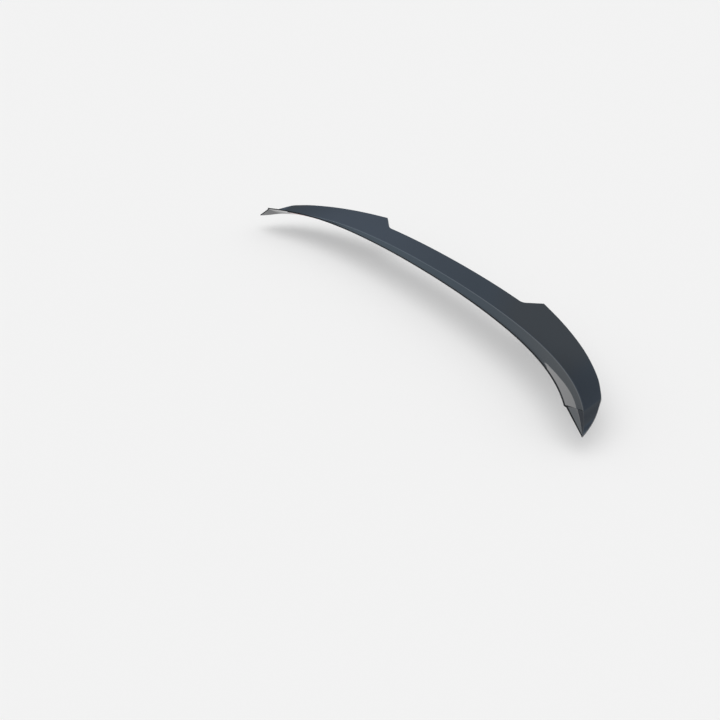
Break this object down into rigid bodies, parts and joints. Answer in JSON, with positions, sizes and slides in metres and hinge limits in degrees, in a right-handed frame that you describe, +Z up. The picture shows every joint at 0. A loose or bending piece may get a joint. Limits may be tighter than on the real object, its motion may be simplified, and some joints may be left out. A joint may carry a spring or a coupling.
{
  "type": "boot-lid spoiler extension",
  "caption": "Stick-on rear spoiler extension: a swept, thin-walled moulded blade with raised wings and pointed tips, with a foam bonding tape and its peel-off film under the flange.",
  "frame": {"origin": "middle of the bonding tape's lower face, on the car's centre line", "axes": "+X towards the right-hand tip, +Y towards the back of the car, +Z up, as fitted on a level boot lid"},
  "size_m": [1.2538, 0.2097, 0.0577],
  "materials": {
    "gloss_moulding": "gloss",
    "tape_foam": "matt",
    "red_film": "satin"
  },
  "bodies": {
    "root": {"spoiler_moulding": "gloss_moulding", "bonding_tape": "tape_foam", "release_film": "red_film"}
  },
  "joints": []
}
